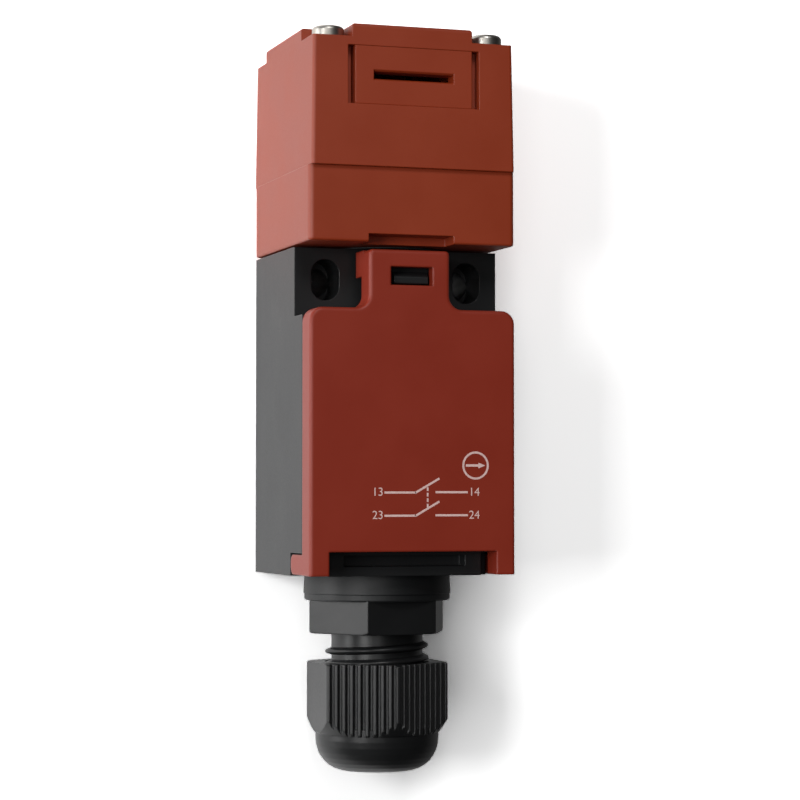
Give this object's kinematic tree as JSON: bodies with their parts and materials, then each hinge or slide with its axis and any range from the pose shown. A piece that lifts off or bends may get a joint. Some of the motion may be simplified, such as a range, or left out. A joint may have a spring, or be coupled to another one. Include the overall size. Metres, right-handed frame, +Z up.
{
  "type": "tongue interlock switch",
  "caption": "Narrow plastic safety interlock switch with a turning key head, hinged snap cover over a screw contact block, and a cable gland.",
  "frame": {"origin": "midway between the two fixing holes, on the flat mounting back", "axes": "+X to the right seen from the front, -Y out of the front cover, +Z up towards the key head"},
  "size_m": [0.0316, 0.0318, 0.1097],
  "materials": {
    "black_plastic": "fine moulded texture, satin",
    "red_plastic": "brick red moulding, satin",
    "black_nylon": "semi-gloss moulded nylon",
    "grey_plastic": "moulded insulating plastic",
    "white_plastic": "natural acetal",
    "clear_plastic": "clear polycarbonate",
    "rubber": "soft black seal",
    "brass": "stamped strip",
    "silver": "contact silver",
    "zinc_steel": "zinc plated",
    "spring_steel": "bright spring steel"
  },
  "bodies": {
    "housing": {"body_shell": "black_plastic", "turret_seal": "rubber", "contact_housing": "grey_plastic", "contact_lid": "clear_plastic", "contact_backplate": "grey_plastic", "fixed_contacts": "brass", "fixed_tips": "silver", "terminal_clamps": "zinc_steel", "terminal_screws": "zinc_steel", "block_screws": "zinc_steel", "conduit_gasket": "rubber", "gland_body": "black_nylon"},
    "cover": {"cover": "red_plastic", "cover_gasket": "rubber"},
    "plunger": {"plunger": "white_plastic", "return_spring": "spring_steel", "contact_carrier": "white_plastic", "contact_bridges": "brass", "bridge_tips": "silver", "bridge_springs": "spring_steel"},
    "head": {"head_base": "red_plastic", "head_cap": "red_plastic", "key_slot_plate": "red_plastic", "head_screws": "zinc_steel", "rotor_axle": "spring_steel", "turret_clip": "spring_steel", "plunger_seal": "rubber"},
    "rotor": {"tongue_rotor": "white_plastic"},
    "seal": {"gland_seal": "rubber"},
    "nut": {"gland_nut": "black_nylon"}
  },
  "joints": [
    {"name": "cover_hinge", "type": "hinge", "parent": "housing", "child": "cover", "pos_m": [0, -0.0219, -0.0418], "axis": [1, 0, 0], "range_deg": [0, 85]},
    {"name": "turret_turn", "type": "hinge", "parent": "housing", "child": "head", "pos_m": [0, -0.0152, 0], "axis": [0, 0, 1], "continuous": true},
    {"name": "rotor_turn", "type": "hinge", "parent": "head", "child": "rotor", "pos_m": [0, -0.0152, 0.0225], "axis": [-1, 0, 0], "range_deg": [0, 40]},
    {"name": "plunger_slide", "type": "slide", "parent": "housing", "child": "plunger", "axis": [0, 0, 1], "range_m": [0, 0.0025], "deforming": ["return_spring"]},
    {"name": "seal_slide", "type": "slide", "parent": "housing", "child": "seal", "axis": [0, 0, 1], "range_m": [-0.002, 0.0032]},
    {"name": "nut_turn", "type": "hinge", "parent": "seal", "child": "nut", "pos_m": [0, -0.0128, -0.0625], "axis": [0, 0, 1], "range_deg": [-378.97, 606.34]}
  ],
  "couplings": [
    {"joint": "rotor_turn", "follows": "plunger_slide", "rad_per_m": 279.25},
    {"joint": "nut_turn", "follows": "seal_slide", "rad_per_m": 3306.9}
  ]
}
